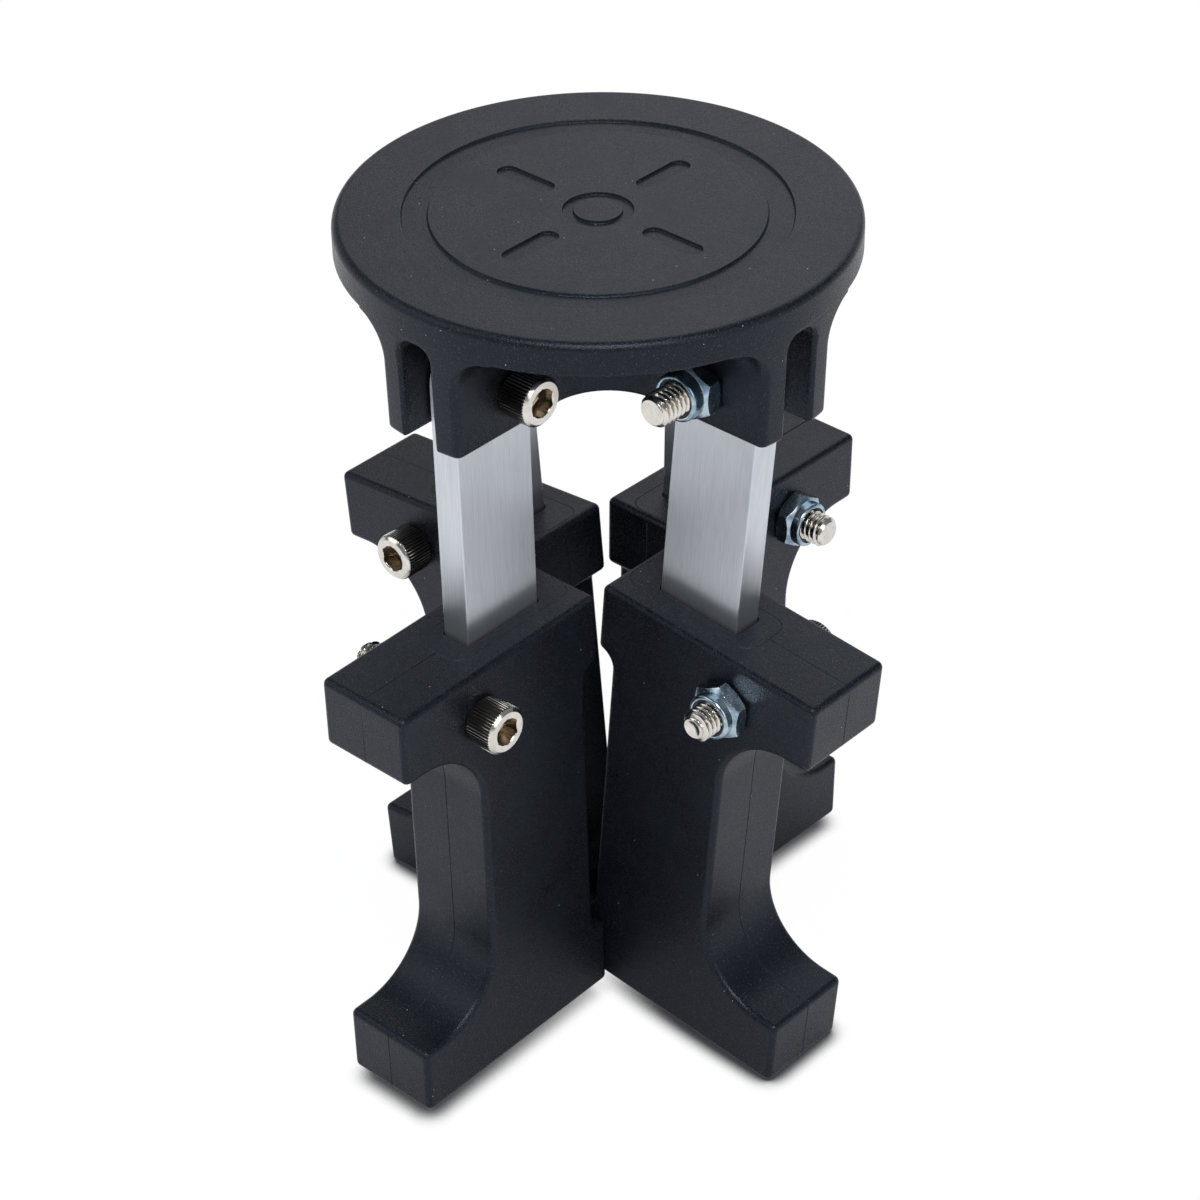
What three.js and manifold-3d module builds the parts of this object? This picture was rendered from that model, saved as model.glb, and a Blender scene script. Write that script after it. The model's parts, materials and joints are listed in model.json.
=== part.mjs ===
// Folding riser for a conga drum: a round hub, four flat bars that fold down from it,
// and a block foot with a cradle that slides along each bar. Millimetres, +Z up.
// It stands folded, toes on the floor at z = 0, with the hub's axis on the Z axis.
import * as THREE from 'three';
import { mergeVertices } from 'three/addons/utils/BufferGeometryUtils.js';
import Module from 'manifold-3d';

const wasm = await Module();
wasm.setup();

// Inch socket head cap screws, 5/16-18 by 1 1/2, and their nylon insert lock nuts
const screwRadius = 3.97;
const screwLength = 38.1;
const screwEndChamfer = 0.9;
const headRadius = 5.95;
const headHeight = 7.9;
const headChamfer = 0.5;
const socketAcrossFlats = 6.35;
const socketDepth = 4.2;
const nutAcrossFlats = 12.7;
const pivotNutHexHeight = 4.6;
const pivotNutHeight = 8;
const clampNutHexHeight = 4;
const clampNutHeight = 6.4;
const nutChamfer = 0.8;
const collarRadius = 5.7;
const collarWall = 0.6;
const insertRecess = 0.4;
const insertHeight = 1.7;

// Running and seating clearances
const threadGap = 0.3;
const insertGap = 0.2;
const seatGap = 0.3;
const cutOverrun = 2;

// Flat bars
const barWidth = 23.2;
const barThickness = 7.7;
const barInFoot = 55;
const barSideGap = 0.45;
const barEndGap = 0.6;

// Hub: disc with a rim, and a plus-shaped block of four forked arms under it
const discRadius = 59.3;
const rimThickness = 8;
const rimTopRound = 1.6;
const rimBottomRound = 0.8;
const bandOuterRadius = 43.8;
const bandInnerRadius = 37.9;
const bandDepth = 0.7;
const bandSlope = 0.25;
const pivotRadius = 39.4;
const pivotHeight = 189;
const discAbovePivot = 24.6;
const blockBelowPivot = 9.8;
const earHalfWidth = 11;
const earDraft = 0.9;
const innerFilletRadius = 15;
const undersideFilletRadius = 9;
const slotRoofAbovePivot = 15.6;
const slotRoofRound = 3;

// Plain emblem sunk in the middle of the disc: a ring and four round-ended strokes
const emblemRingRadius = 8;
const emblemStrokeWidth = 5;
const emblemStrokeStart = 14;
const emblemStrokeEnd = 30;

// Feet: a block with a flange at each end, a cradle outside and a shallow recess inside
const footWidth = 25.9;
const footHeight = 119;
const flangeThickness = 18.5;
const footOutward = 42.2;
const footInward = 21.9;
const webOutward = 17.9;
const webInward = 17.4;
const cradleRadius = 18.5;
const recessRound = 4.5;
const pocketFloorAboveFlange = 3.5;
const pocketCornerRadius = 1.5;
const clampOutward = 17.6;
const clampBelowFootTop = 12.7;

// Folded, arms 1 and 3 stand on their toes and the other two feet are slid up a little
const foldGap = 2.6;
const flankGap = 0.8;
const flankToeLift = 3.3;

const roundSegments = 64;
const smallSegments = 20;
const arcSegments = 8;
const quarter = Math.PI / 2;

const discTop = pivotHeight + discAbovePivot;
const discUnderside = discTop - rimThickness;
const blockBottom = pivotHeight - blockBelowPivot;
const slotHalfWidth = barThickness / 2 + barSideGap;
const boreRadius = screwRadius + threadGap;

// Distance from pivot to foot bottom that holds the leaning foot's toe this far off the floor
function legLength(lean, toeLift) {
  return (pivotHeight - toeLift - footOutward * Math.sin(lean)) / Math.cos(lean);
}

// Inward lean that brings the foot's inner bottom edge to this distance from the hub's axis
function leanFor(edgeRadius, toeLift) {
  let [low, high] = [0, quarter / 2];
  for (let step = 0; step < 40; step += 1) {
    const lean = (low + high) / 2;
    const inward = footInward * Math.cos(lean) + legLength(lean, toeLift) * Math.sin(lean);
    if (pivotRadius - inward > edgeRadius) low = lean;
    else high = lean;
  }
  return low;
}

// Arms 1 and 3 swing in until their feet almost meet, arms 2 and 4 close on their flanks
const deepLean = leanFor(foldGap / 2, 0);
const flankLean = leanFor(footWidth / 2 + flankGap, flankToeLift);

// The slots reach far enough in for the bars to lean
const slotStart = pivotRadius - barWidth / 2 / Math.cos(deepLean)
  - blockBelowPivot * Math.tan(deepLean) - barEndGap;

const plastic = { color: 0x1c1e22, roughness: 0.62, metalness: 0 };
const aluminium = { color: 0xb4b6b9, roughness: 0.36, metalness: 1 };
const nickel = { color: 0xd6cdbf, roughness: 0.2, metalness: 1 };
const zinc = { color: 0xaebcc6, roughness: 0.25, metalness: 1 };
const nylon = { color: 0x10151c, roughness: 0.5, metalness: 0 };

// Closed indexed geometry with shared vertices, no flat triangles and faces turned out
function weld(geometry) {
  const bare = geometry.clone();
  bare.deleteAttribute('normal');
  bare.deleteAttribute('uv');
  const merged = mergeVertices(bare);
  const place = merged.attributes.position;
  const index = merged.index.array;
  const corners = [new THREE.Vector3(), new THREE.Vector3(), new THREE.Vector3()];
  const kept = [];
  let volume = 0;
  for (let i = 0; i < index.length; i += 3) {
    const [a, b, c] = [index[i], index[i + 1], index[i + 2]];
    if (a === b || b === c || c === a) continue;
    [a, b, c].forEach((vertex, n) => corners[n].fromBufferAttribute(place, vertex));
    volume += corners[0].dot(corners[1].cross(corners[2]));
    kept.push([a, b, c]);
  }
  const outward = volume < 0 ? kept.map(([a, b, c]) => [a, c, b]) : kept;
  merged.setIndex(outward.flat());
  return merged;
}

function solid(geometry) {
  const closed = weld(geometry);
  return new wasm.Manifold(new wasm.Mesh({
    numProp: 3,
    vertProperties: new Float32Array(closed.attributes.position.array),
    triVerts: new Uint32Array(closed.index.array),
  }));
}

function geometryOf(manifold) {
  const mesh = manifold.getMesh();
  const geometry = new THREE.BufferGeometry();
  geometry.setAttribute('position', new THREE.Float32BufferAttribute(mesh.vertProperties, 3));
  geometry.setIndex(Array.from(mesh.triVerts));
  return geometry;
}

function node(name, geometry, look) {
  const mesh = new THREE.Mesh(geometry, new THREE.MeshStandardMaterial(look));
  mesh.name = name;
  return mesh;
}

// Solid of revolution about the Y axis from [radius, height] pairs
function turned(profile, segments) {
  const points = profile.map(([radius, height]) => new THREE.Vector2(radius, height));
  return new THREE.LatheGeometry(points, segments);
}

// A shape drawn in X and Z, given a thickness along Y about the middle plane
function slab(shape, thickness) {
  const settings = { depth: thickness, bevelEnabled: false, curveSegments: arcSegments };
  const geometry = new THREE.ExtrudeGeometry(shape, settings);
  geometry.translate(0, 0, -thickness / 2);
  return geometry.rotateX(quarter);
}

// A cylinder along Y through the point (x, z), as long as length
function crossBore(x, z, radius, length) {
  const geometry = new THREE.CylinderGeometry(radius, radius, length, smallSegments);
  return geometry.translate(x, 0, z);
}

// Rectangle with rounded corners about the origin, width along X and height along Y
function roundedRectangle(width, height, radius) {
  const [x, y] = [width / 2 - radius, height / 2 - radius];
  const shape = new THREE.Shape();
  shape.absarc(x, y, radius, 0, quarter);
  shape.absarc(-x, y, radius, quarter, 2 * quarter);
  shape.absarc(-x, -y, radius, 2 * quarter, 3 * quarter);
  shape.absarc(x, -y, radius, 3 * quarter, 4 * quarter);
  shape.closePath();
  return shape;
}

// Closed body through rings of points, one ring per level, capped at both ends
function loft(rings) {
  const count = rings[0].length;
  const positions = rings.flat().flatMap((point) => [point.x, point.y, point.z]);
  const index = [];
  for (let level = 0; level + 1 < rings.length; level += 1) {
    for (let i = 0; i < count; i += 1) {
      const low = level * count;
      const next = (i + 1) % count;
      index.push(low + i, low + next, low + count + next);
      index.push(low + i, low + count + next, low + count + i);
    }
  }
  const flat = rings[0].map((point) => new THREE.Vector2(point.x, point.y));
  const top = (rings.length - 1) * count;
  for (const [a, b, c] of THREE.ShapeUtils.triangulateShape(flat, [])) {
    index.push(c, b, a);
    index.push(top + a, top + b, top + c);
  }
  const geometry = new THREE.BufferGeometry();
  geometry.setAttribute('position', new THREE.Float32BufferAttribute(positions, 3));
  geometry.setIndex(index);
  return geometry;
}

// Outline of the plus-shaped block, grown outwards by offset, at one height
function plusRing(offset, height) {
  const centre = earHalfWidth + innerFilletRadius;
  const radius = innerFilletRadius - offset;
  const side = earHalfWidth + offset;
  const reach = discRadius + cutOverrun;
  const ring = [];
  for (let arm = 0; arm < 4; arm += 1) {
    const points = [[reach, -side], [reach, side]];
    for (let i = 0; i <= arcSegments; i += 1) {
      const angle = -quarter - (quarter * i) / arcSegments;
      points.push([centre + radius * Math.cos(angle), centre + radius * Math.sin(angle)]);
    }
    for (const [x, y] of points) {
      const point = new THREE.Vector3(x, y, height);
      ring.push(point.applyAxisAngle(new THREE.Vector3(0, 0, 1), arm * quarter));
    }
  }
  return ring;
}

function discProfile() {
  const profile = [[0, discUnderside], [discRadius - rimBottomRound, discUnderside]];
  profile.push([discRadius, discUnderside + rimBottomRound]);
  for (let i = 0; i <= 4; i += 1) {
    const angle = (quarter * i) / 4;
    const radius = discRadius - rimTopRound + rimTopRound * Math.cos(angle);
    profile.push([radius, discTop - rimTopRound + rimTopRound * Math.sin(angle)]);
  }
  profile.push([bandOuterRadius, discTop], [bandOuterRadius - bandSlope, discTop - bandDepth]);
  profile.push([bandInnerRadius + bandSlope, discTop - bandDepth], [bandInnerRadius, discTop]);
  profile.push([0, discTop]);
  return profile;
}

// Disc, block, four slots for the bars, four cross bores and the sunk emblem
function hubGeometry() {
  const disc = solid(turned(discProfile(), roundSegments).rotateX(quarter));
  const rings = [plusRing(0, blockBottom)];
  for (let i = 0; i <= arcSegments; i += 1) {
    const angle = (quarter * i) / arcSegments;
    const offset = undersideFilletRadius * (1 - Math.cos(angle));
    const drop = undersideFilletRadius * (1 - Math.sin(angle));
    rings.push(plusRing(offset, discUnderside - drop));
  }
  rings.push(plusRing(undersideFilletRadius, discUnderside + rimTopRound));
  const taper = turned([
    [0, blockBottom - cutOverrun],
    [discRadius - earDraft, blockBottom - cutOverrun],
    [discRadius, discUnderside + rimBottomRound],
    [discRadius, discUnderside + rimTopRound],
    [0, discUnderside + rimTopRound],
  ], roundSegments).rotateX(quarter);
  let hub = solid(loft(rings)).intersect(solid(taper)).add(disc);
  for (let arm = 0; arm < 4; arm += 1) {
    const turn = new THREE.Matrix4().makeRotationZ(arm * quarter);
    hub = hub.subtract(solid(slotGeometry().applyMatrix4(turn)));
    const bore = crossBore(pivotRadius, pivotHeight, boreRadius, 2 * (earHalfWidth + cutOverrun));
    hub = hub.subtract(solid(bore.applyMatrix4(turn)));
    hub = hub.subtract(solid(emblemStroke().applyMatrix4(turn)));
  }
  return geometryOf(hub.subtract(solid(emblemRing())));
}

// The slot is open below and outside, and its roof has round corners
function slotGeometry() {
  const [floor, roof] = [blockBottom - cutOverrun, pivotHeight + slotRoofAbovePivot];
  const flat = slotHalfWidth - slotRoofRound;
  const shape = new THREE.Shape();
  shape.moveTo(-slotHalfWidth, floor);
  shape.lineTo(slotHalfWidth, floor);
  shape.absarc(flat, roof - slotRoofRound, slotRoofRound, 0, quarter);
  shape.absarc(-flat, roof - slotRoofRound, slotRoofRound, quarter, 2 * quarter);
  shape.closePath();
  const length = discRadius + cutOverrun - slotStart;
  const settings = { depth: length, bevelEnabled: false, curveSegments: arcSegments };
  const geometry = new THREE.ExtrudeGeometry(shape, settings);
  return geometry.rotateX(quarter).rotateZ(quarter).translate(slotStart, 0, 0);
}

function emblemStroke() {
  const length = emblemStrokeEnd - emblemStrokeStart;
  const shape = roundedRectangle(length, emblemStrokeWidth, emblemStrokeWidth / 2);
  const settings = { depth: bandDepth + cutOverrun, bevelEnabled: false, curveSegments: 4 };
  const geometry = new THREE.ExtrudeGeometry(shape, settings);
  return geometry.translate(emblemStrokeStart + length / 2, 0, discTop - bandDepth);
}

function emblemRing() {
  const [inner, outer] = [emblemRingRadius - emblemStrokeWidth / 2, emblemRingRadius];
  const [low, high] = [discTop - bandDepth, discTop + cutOverrun];
  const profile = [[inner, low], [outer, low], [outer, high], [inner, high], [inner, low]];
  return turned(profile, smallSegments).rotateX(quarter);
}

// Bar with a full-round upper end about its pivot bore; the pivot is the origin
function barGeometry(length) {
  const half = barWidth / 2;
  const shape = new THREE.Shape();
  shape.moveTo(-half, -length);
  shape.lineTo(half, -length);
  shape.absarc(0, 0, half, 0, 2 * quarter);
  shape.closePath();
  const bore = new THREE.Path();
  bore.absarc(0, 0, boreRadius, 0, 4 * quarter, true);
  shape.holes.push(bore);
  return weld(slab(shape, barThickness));
}

// Foot seen from the side: x outwards from the bar's middle, z up from the foot's bottom
function footShape() {
  const [low, high] = [flangeThickness, footHeight - flangeThickness];
  const turnAt = webOutward + cradleRadius;
  const shape = new THREE.Shape();
  shape.moveTo(-footInward, 0);
  shape.lineTo(footOutward, 0);
  shape.lineTo(footOutward, low);
  shape.absarc(turnAt, low + cradleRadius, cradleRadius, 3 * quarter, 2 * quarter, true);
  shape.absarc(turnAt, high - cradleRadius, cradleRadius, 2 * quarter, quarter, true);
  shape.lineTo(footOutward, high);
  shape.lineTo(footOutward, footHeight);
  shape.lineTo(-footInward, footHeight);
  shape.lineTo(-footInward, high);
  shape.absarc(-webInward - recessRound, high - recessRound, recessRound, quarter, 0, true);
  shape.absarc(-webInward - recessRound, low + recessRound, recessRound, 0, -quarter, true);
  shape.lineTo(-footInward, low);
  shape.closePath();
  return shape;
}

// Foot with the pocket that the bar slides in and the cross bore of the clamp screw
function footGeometry() {
  const body = solid(slab(footShape(), footWidth));
  const pocket = roundedRectangle(barWidth + 2 * barEndGap, 2 * slotHalfWidth, pocketCornerRadius);
  const floor = flangeThickness + pocketFloorAboveFlange;
  const settings = { depth: footHeight + cutOverrun - floor, bevelEnabled: false, curveSegments: 4 };
  const hole = new THREE.ExtrudeGeometry(pocket, settings).translate(0, 0, floor);
  const height = footHeight - clampBelowFootTop;
  const bore = crossBore(clampOutward, height, boreRadius, footWidth + 2 * cutOverrun);
  return geometryOf(body.subtract(solid(hole)).subtract(solid(bore)));
}

// Socket head cap screw along Y, its head above y = 0 and its shank below
function screwGeometry() {
  const profile = [
    [0, -screwLength],
    [screwRadius - screwEndChamfer, -screwLength],
    [screwRadius, -screwLength + screwEndChamfer],
    [screwRadius, 0],
    [headRadius, 0],
    [headRadius, headHeight - headChamfer],
    [headRadius - headChamfer, headHeight],
    [0, headHeight],
  ];
  const corner = socketAcrossFlats / Math.sqrt(3);
  const length = socketDepth + cutOverrun;
  const socket = new THREE.CylinderGeometry(corner, corner, length, 6);
  socket.translate(0, headHeight - socketDepth + length / 2, 0);
  return geometryOf(solid(turned(profile, smallSegments)).subtract(solid(socket)));
}

// Lock nut along Y, seated at y = 0, with its insert collar towards -Y
function nutGeometry(hexHeight, height) {
  const corner = nutAcrossFlats / Math.sqrt(3);
  const hex = new THREE.CylinderGeometry(corner, corner, hexHeight, 6);
  hex.translate(0, -hexHeight / 2, 0);
  const chamfers = turned([
    [0, -hexHeight],
    [corner - nutChamfer, -hexHeight],
    [corner, -hexHeight + nutChamfer],
    [corner, -nutChamfer / 2],
    [corner - nutChamfer, 0],
    [0, 0],
  ], smallSegments);
  const collar = turned([
    [0, -height],
    [collarRadius - collarWall, -height],
    [collarRadius, -height + collarWall],
    [collarRadius, -hexHeight / 2],
    [0, -hexHeight / 2],
  ], smallSegments);
  const through = 2 * (height + cutOverrun);
  const bore = new THREE.CylinderGeometry(boreRadius, boreRadius, through, smallSegments);
  const pocketRadius = collarRadius - collarWall;
  const pocketDepth = insertRecess + insertHeight + insertGap;
  const pocket = new THREE.CylinderGeometry(
    pocketRadius, pocketRadius, pocketDepth + cutOverrun, smallSegments,
  );
  pocket.translate(0, -height + pocketDepth - (pocketDepth + cutOverrun) / 2, 0);
  const outside = solid(hex).intersect(solid(chamfers)).add(solid(collar));
  return geometryOf(outside.subtract(solid(bore)).subtract(solid(pocket)));
}

// Nylon ring in the collar of a nut of the given height
function insertGeometry(height) {
  const outer = collarRadius - collarWall - insertGap;
  const [low, high] = [-height + insertRecess, -height + insertRecess + insertHeight];
  const profile = [[boreRadius, low], [outer, low], [outer, high], [boreRadius, high], [boreRadius, low]];
  return weld(turned(profile, smallSegments));
}

// One screw with its nut and insert, through a grip of the given width about y = 0
function fastener(name, number, grip, hexHeight, height) {
  const group = new THREE.Group();
  const screw = node(`${name}_screw_${number}`, screwGeometry(), nickel);
  screw.position.y = grip / 2 + seatGap;
  const nut = node(`${name}_nut_${number}`, nutGeometry(hexHeight, height), zinc);
  nut.position.y = -grip / 2 - seatGap;
  const insert = node(`${name}_nut_insert_${number}`, insertGeometry(height), nylon);
  insert.position.y = nut.position.y;
  return group.add(screw, nut, insert);
}

// Arm turned to its place round the hub, origin at its pivot, with bar, foot and clamp screw
function arm(number) {
  const [lean, toeLift] = number % 2 === 1 ? [deepLean, 0] : [flankLean, flankToeLift];
  const group = new THREE.Group();
  const angle = (number - 1) * quarter;
  group.rotation.set(0, lean, angle, 'ZYX');
  group.position.set(pivotRadius * Math.cos(angle), pivotRadius * Math.sin(angle), pivotHeight);
  const footBottom = -legLength(lean, toeLift);
  const footTop = footBottom + footHeight;
  group.add(node(`bar_${number}`, barGeometry(barInFoot - footTop), aluminium));
  const foot = node(`foot_${number}`, footGeometry(), plastic);
  foot.position.z = footBottom;
  group.add(foot);
  const clamp = fastener('clamp', number, footWidth, clampNutHexHeight, clampNutHeight);
  clamp.position.set(clampOutward, 0, footTop - clampBelowFootTop);
  return group.add(clamp);
}

const riser = new THREE.Group();
riser.add(node('hub', hubGeometry(), plastic));
for (let number = 1; number <= 4; number += 1) {
  const pivot = fastener('pivot', number, 2 * earHalfWidth, pivotNutHexHeight, pivotNutHeight);
  const angle = (number - 1) * quarter;
  pivot.rotation.z = angle;
  pivot.position.set(pivotRadius * Math.cos(angle), pivotRadius * Math.sin(angle), pivotHeight);
  riser.add(pivot);
  riser.add(arm(number));
}

export default riser;
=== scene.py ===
"""Looks of a folding conga riser: a hub, four flat bars, four block feet and their fasteners."""
import json
import math

import bpy
import numpy as np
from mathutils import Matrix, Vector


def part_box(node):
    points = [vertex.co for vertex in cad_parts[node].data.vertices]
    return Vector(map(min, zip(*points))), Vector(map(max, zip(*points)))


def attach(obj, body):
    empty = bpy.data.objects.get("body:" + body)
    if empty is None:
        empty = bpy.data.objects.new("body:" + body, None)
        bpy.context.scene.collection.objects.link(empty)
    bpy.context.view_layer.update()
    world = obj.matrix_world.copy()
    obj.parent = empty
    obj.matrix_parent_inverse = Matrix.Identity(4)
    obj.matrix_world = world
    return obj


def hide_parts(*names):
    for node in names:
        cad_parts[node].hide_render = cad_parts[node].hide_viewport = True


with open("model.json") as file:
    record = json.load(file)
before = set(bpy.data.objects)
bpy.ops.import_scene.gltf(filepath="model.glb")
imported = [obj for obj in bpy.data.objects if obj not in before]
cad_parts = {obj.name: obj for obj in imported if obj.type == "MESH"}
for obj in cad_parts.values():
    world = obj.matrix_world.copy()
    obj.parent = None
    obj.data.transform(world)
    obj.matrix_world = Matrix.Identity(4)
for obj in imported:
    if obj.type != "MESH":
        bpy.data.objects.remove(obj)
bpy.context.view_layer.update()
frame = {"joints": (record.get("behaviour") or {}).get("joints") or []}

# Dimensions in millimetres: the CAD model's, and those of what only the looks have

DISC_RADIUS = 59.3
RIM_THICKNESS = 8
RIM_TOP_ROUND = 1.9
RIM_BOTTOM_ROUND = 0.8
BAND_OUTER_RADIUS = 43.8
BAND_INNER_RADIUS = 37.9
BAND_DEPTH = 0.7
BAND_EDGE_ROUND = 0.25
BAND_SLOPE = 0.1
BAND_FILLET = 0.12
DISC_ABOVE_PIVOT = 24.6
BLOCK_BELOW_PIVOT = 9.8
EAR_HALF_WIDTH = 11
EAR_DRAFT = 0.9
EAR_CORNER_ROUND = 2
EAR_BOTTOM_ROUND = 1.2
INNER_FILLET = 15
UNDERSIDE_FILLET = 9
SLOT_HALF_WIDTH = 4.3
SLOT_START = 26.29
SLOT_ROOF_ABOVE_PIVOT = 15.6
SLOT_ROOF_ROUND = 3
SLOT_MOUTH_ROUND = 1.4
BORE_RADIUS = 4.27
EMBLEM_RING = (5.5, 8)
EMBLEM_STROKE = (14, 30)
EMBLEM_WIDTH = 5
EMBLEM_EDGE_ROUND = 0.2

FOOT_WIDTH = 25.9
FOOT_HEIGHT = 119
FOOT_OUTWARD = 42.2
FOOT_INWARD = 21.9
FLANGE = 18.5
WEB_OUTWARD = 17.9
WEB_INWARD = 17.4
CRADLE_RADIUS = 18.5
RECESS_ROUND = 4.5
FOOT_CORNER_ROUND = 1.65
FOOT_EDGE_ROUND = 1.55
POCKET_WIDTH = 24.4
POCKET_CORNER = 1.5
POCKET_FLOOR = 22
POCKET_MOUTH_ROUND = 0.3
CLAMP_OUTWARD = 17.6
CLAMP_HEIGHT = 106.3
PARTING_WIDTH = 0.36
PARTING_DEPTH = 0.22
PARTING_FRAME = ((-20.3, -7.2), (18.2, 7.2))
PARTING_FRAME_ROUND = 4

BAR_WIDTH = 23.2
BAR_THICKNESS = 7.7
BAR_IN_FOOT = 55
BAR_EDGE_ROUND = 0.35
BAR_CORNER_ROUND = 0.6

SCREW_RADIUS = 3.97
SCREW_LENGTH = 38.1
THREAD_PITCH = 1.411
THREAD_DEPTH = 0.8
THREADED_LENGTH = 12
THREAD_STEPS = 12
THREAD_CREST = 0.12
THREAD_FLANK = 0.66
END_CHAMFER = 0.95
TIP_RADIUS = 2.75
TIP_LENGTH = 0.9
TIP_CUP_RADIUS = 2.1
TIP_CUP_DEPTH = 0.26
HEAD_RADIUS = 5.95
HEAD_HEIGHT = 7.9
HEAD_CROWN = 0.95
HEAD_SEAT_RADIUS = 5.3
HEAD_FOOT_RADIUS = 5.6
HEAD_FOOT_HEIGHT = 0.25
KNURL_FLUTES = 48
KNURL_DEPTH = 0.3
SOCKET_ACROSS_FLATS = 6.35
SOCKET_DEPTH = 4.2
SOCKET_RIM_RADIUS = 3.45
SOCKET_CONE_DEPTH = 1
NUT_ACROSS_FLATS = 12.7
PIVOT_NUT = (4.6, 8)
CLAMP_NUT = (4, 6.4)
COLLAR_RADIUS = 5.7
COLLAR_ROUND = 0.75
COLLAR_INSIDE = 5.1
NUT_SEAT_RADIUS = 5.95
NUT_SEAT_CONE = (6.15, 1.73)
NUT_COLLAR_CONE = (5.85, 1.5)
LIP_RADIUS = 4.72
INSERT_RADII = (4.05, 4.9)
INSERT_HEIGHTS = (0.4, 2.1)
INSERT_EDGE_ROUND = 0.2
SEAT_GAP = 0.3
CUT_OVERRUN = 2

# The camera: places in metres, roll in degrees, focal length in pixels of a frame
# FRAME_WIDTH wide

EYE = (0.4493, -0.4920, 0.57296)
LOOKED_AT = (0.067696, -0.074812, 0.178188)
CAMERA_ROLL = -0.658
FOCAL_LENGTH = 3386.7
FRAME_WIDTH = 1200
SENSOR_WIDTH = 36

joints = {joint["name"]: joint for joint in frame["joints"]}
PIVOT_RADIUS, _, PIVOT_HEIGHT = (1000 * v for v in joints["arm_1_fold"]["pos_m"])
DISC_TOP = PIVOT_HEIGHT + DISC_ABOVE_PIVOT
DISC_UNDERSIDE = DISC_TOP - RIM_THICKNESS
BLOCK_BOTTOM = PIVOT_HEIGHT - BLOCK_BELOW_PIVOT


# Outlines and closed surfaces

def arc(across, up, radius, start, end, count):
    """Points (across + radius cos a, up + radius sin a), a from start to end degrees, with
    their outward normals: (cos a, sin a) on a corner, where end > start, and its opposite
    in a hollow."""
    angle = np.radians(np.linspace(start, end, count))
    ray = np.stack([np.cos(angle), np.sin(angle)], axis=1)
    side = 1 if end > start else -1
    return np.array([across, up]) + radius * ray, side * ray


def outline(*arcs):
    """A closed counter-clockwise outline of arcs joined by straight lines, as its points and
    normals."""
    return np.concatenate([a[0] for a in arcs]), np.concatenate([a[1] for a in arcs])


def rounded_rectangle(low, high, radius, count=6):
    """Outline of a rectangle between two corners, with round corners."""
    (x0, y0), (x1, y1) = low, high
    return outline(
        arc(x0 + radius, y0 + radius, radius, 180, 270, count),
        arc(x1 - radius, y0 + radius, radius, 270, 360, count),
        arc(x1 - radius, y1 - radius, radius, 0, 90, count),
        arc(x0 + radius, y1 - radius, radius, 90, 180, count),
    )


def rounded_levels(half, radius, count):
    """Levels (place, inset) across a width of 2 half with both edges rounded:
    place = half - radius (1 - cos b) and inset = radius (1 - sin b), b from 0 to 90 degrees."""
    b = np.linspace(0, math.pi / 2, count)
    place = half - radius * (1 - np.cos(b))
    inset = radius * (1 - np.sin(b))
    low = list(zip(-place, inset))
    high = list(zip(place[::-1], inset[::-1]))
    return low + high


def sideways(shape, levels):
    """Rings (px - i nx, y, pz - i nz) of an outline in X and Z, one for each level (y, i).
    The inset i is one number or one for each point."""
    points, normals = shape
    rings = []
    for place, inset in levels:
        moved = points - np.reshape(inset, (-1, 1)) * normals
        rings.append(np.stack([moved[:, 0], np.full(len(moved), place), moved[:, 1]], axis=1))
    return rings


def upright(shape, levels):
    """Rings (px - i nx, py - i ny, z) of an outline in X and Y, one for each level (z, i)."""
    points, normals = shape
    rings = []
    for height, inset in levels:
        moved = points - inset * normals
        rings.append(np.column_stack([moved, np.full(len(moved), height)]))
    return rings


def turned_about_z(profile, count):
    """Rings (r cos a, r sin a, z) for each (r, z) of a profile, a in count equal steps."""
    angle = np.arange(count) * 2 * math.pi / count
    ray = np.stack([np.cos(angle), np.sin(angle)], axis=1)
    return [np.column_stack([r * ray, np.full(count, z)]) for r, z in profile]


def turned_about_y(profile, count):
    """Rings (r sin a, y, r cos a) for each (r, y) of a profile, where r is one number or one
    for each of the count directions."""
    angle = np.arange(count) * 2 * math.pi / count
    rings = []
    for radius, place in profile:
        r = np.broadcast_to(radius, count)
        ring = [r * np.sin(angle), np.full(count, place), r * np.cos(angle)]
        rings.append(np.stack(ring, axis=1))
    return rings


def skin(rings, loop=False):
    """Vertices and faces of the closed surface through rings of equally many points. The first
    and last ring are filled, or joined to each other where loop is true. Faces turn outwards:
    the enclosed volume, the sum of a . (b x c) / 6 over its triangles, is positive."""
    count = len(rings[0])
    vertices = np.concatenate(rings)
    start = np.arange(len(rings) if loop else len(rings) - 1) * count
    low = (start[:, None] + np.arange(count)).ravel()
    low_next = (start[:, None] + (np.arange(count) + 1) % count).ravel()
    total = len(vertices)
    quads = np.stack([low, low_next, (low_next + count) % total, (low + count) % total], axis=1)
    triangles = np.concatenate([quads[:, [0, 1, 2]], quads[:, [0, 2, 3]]])
    caps = [] if loop else [np.arange(count)[::-1], np.arange(total - count, total)]
    for cap in caps:
        fan = np.stack([np.full(count - 2, cap[0]), cap[1:-1], cap[2:]], axis=1)
        triangles = np.concatenate([triangles, fan])
    a, b, c = (vertices[triangles[:, i]] for i in range(3))
    outward = np.einsum("ij,ij->i", a, np.cross(b, c)).sum() > 0
    faces = [tuple(face) for face in quads.tolist()] + [tuple(cap.tolist()) for cap in caps]
    if not outward:
        faces = [face[::-1] for face in faces]
    return vertices, faces


def turn(surface, degrees):
    """The surface turned about the Z axis."""
    vertices, faces = surface
    a = math.radians(degrees)
    x, y, z = vertices.T
    turned = [x * math.cos(a) - y * math.sin(a), x * math.sin(a) + y * math.cos(a), z]
    return np.stack(turned, axis=1), faces


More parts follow.
